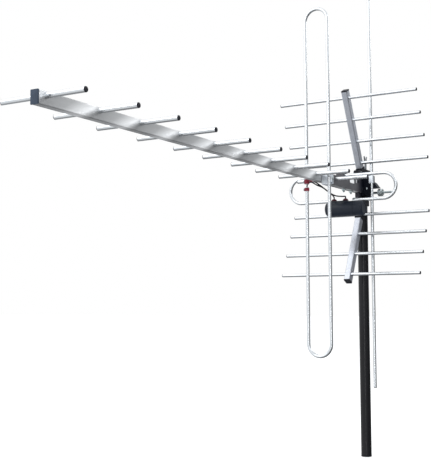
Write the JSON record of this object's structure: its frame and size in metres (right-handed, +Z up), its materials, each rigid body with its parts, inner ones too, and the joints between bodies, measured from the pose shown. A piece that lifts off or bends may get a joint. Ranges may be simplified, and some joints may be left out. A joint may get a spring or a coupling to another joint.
{
  "type": "yagi antenna",
  "caption": "Outdoor television aerial: long boom with short directors, a tall and a wide folded dipole, and a corner reflector, clamped to a stub mast.",
  "frame": {"origin": "centre of the mast's foot, on the mast's axis", "axes": "+Z up the mast, -Y along the boom to its front end (the direction the aerial points), +X along the elements"},
  "size_m": [0.341, 1.1933, 1.0895],
  "materials": {
    "bright_aluminium_tube": "bright drawn tube",
    "boom_aluminium": "brushed along the length",
    "satin_aluminium": "satin, cool blue-grey",
    "zinc_plated_steel": "zinc plated",
    "black_plastic": "fine moulded grain",
    "balun_plastic": "semi-gloss, bluish black",
    "blue_grey_plastic": "fine moulded grain",
    "grey_plastic": "fine moulded grain",
    "red_plastic": "semi-gloss, deep red",
    "black_painted_steel": "gloss black paint",
    "lead_rubber": "smooth black sleeve",
    "circuit_board": "green solder mask",
    "ferrite": "dark grey sintered",
    "plated_brass": "plated"
  },
  "bodies": {
    "mast": {"mast_tube": "black_painted_steel", "mast_foot_plug": "black_plastic"},
    "clamp": {"clamp_collar": "black_plastic", "swivel_lock_screw": "zinc_plated_steel", "tilt_bolt": "zinc_plated_steel"},
    "tilt_handnut": {"tilt_nut": "zinc_plated_steel"},
    "boom": {"boom_tube": "boom_aluminium", "boom_front_cap": "blue_grey_plastic", "director_01": "bright_aluminium_tube", "director_02": "bright_aluminium_tube", "director_03": "bright_aluminium_tube", "director_04": "bright_aluminium_tube", "director_05": "bright_aluminium_tube", "director_06": "bright_aluminium_tube", "director_07": "bright_aluminium_tube", "director_08": "bright_aluminium_tube", "director_09": "bright_aluminium_tube", "director_10": "bright_aluminium_tube", "vhf_dipole": "bright_aluminium_tube", "vhf_terminal_upper": "red_plastic", "vhf_terminal_lower": "red_plastic", "vhf_dipole_bracket": "satin_aluminium", "uhf_dipole": "bright_aluminium_tube", "uhf_dipole_saddle": "grey_plastic", "balun_housing": "balun_plastic", "lead_gland_left": "red_plastic", "lead_gland_right": "red_plastic", "balun_circuit_board": "circuit_board", "balun_transformer": "ferrite", "coax_socket": "plated_brass", "feed_lead_upper": "lead_rubber", "feed_lead_lower": "lead_rubber", "hub_moulding": "black_plastic", "nose_screw_front": "zinc_plated_steel", "nose_screw_rear": "zinc_plated_steel", "vhf_bracket_screw": "zinc_plated_steel", "vhf_dipole_screw": "zinc_plated_steel", "vhf_terminal_screw_upper": "zinc_plated_steel", "vhf_terminal_screw_lower": "zinc_plated_steel", "uhf_terminal_screw": "zinc_plated_steel", "upper_fold_pin": "zinc_plated_steel", "lower_fold_pin": "zinc_plated_steel", "vhf_reflector": "bright_aluminium_tube", "vhf_reflector_clip": "satin_aluminium"},
    "balun_cap": {"balun_end_cap": "balun_plastic"},
    "upper_arm": {"upper_arm_tube": "satin_aluminium", "upper_arm_cap": "black_plastic", "upper_arm_shoe": "black_plastic", "upper_rod_1": "bright_aluminium_tube", "upper_rod_2": "bright_aluminium_tube", "upper_rod_3": "bright_aluminium_tube", "upper_rod_4": "bright_aluminium_tube"},
    "lower_arm": {"lower_arm_tube": "satin_aluminium", "lower_arm_cap": "black_plastic", "lower_arm_shoe": "black_plastic", "lower_rod_1": "bright_aluminium_tube", "lower_rod_2": "bright_aluminium_tube", "lower_rod_3": "bright_aluminium_tube", "lower_rod_4": "bright_aluminium_tube"},
    "wing_screw": {"upper_wing_screw": "zinc_plated_steel"}
  },
  "joints": [
    {"name": "mast_swivel", "type": "hinge", "parent": "mast", "child": "clamp", "pos_m": [0, 0, 0.6], "axis": [0, 0, 1], "continuous": true},
    {"name": "elevation_tilt", "type": "hinge", "parent": "clamp", "child": "boom", "pos_m": [0, 0.01, 0.621], "axis": [-1, 0, 0], "range_deg": [0, 15]},
    {"name": "upper_arm_fold", "type": "hinge", "parent": "boom", "child": "upper_arm", "pos_m": [0, -0.026, 0.6686], "axis": [1, 0, 0], "range_deg": [0, 60]},
    {"name": "lower_arm_fold", "type": "hinge", "parent": "boom", "child": "lower_arm", "pos_m": [0, -0.026, 0.5914], "axis": [-1, 0, 0], "range_deg": [0, 40]},
    {"name": "wing_screw_turn", "type": "hinge", "parent": "upper_arm", "child": "wing_screw", "pos_m": [0, 0.024, 0.69], "axis": [0, 0, 1], "continuous": true},
    {"name": "tilt_nut_turn", "type": "hinge", "parent": "clamp", "child": "tilt_handnut", "pos_m": [0.049, 0.01, 0.621], "axis": [1, 0, 0], "continuous": true},
    {"name": "balun_cap_pull", "type": "slide", "parent": "boom", "child": "balun_cap", "axis": [1, 0, 0], "range_m": [0, 0.03]}
  ]
}
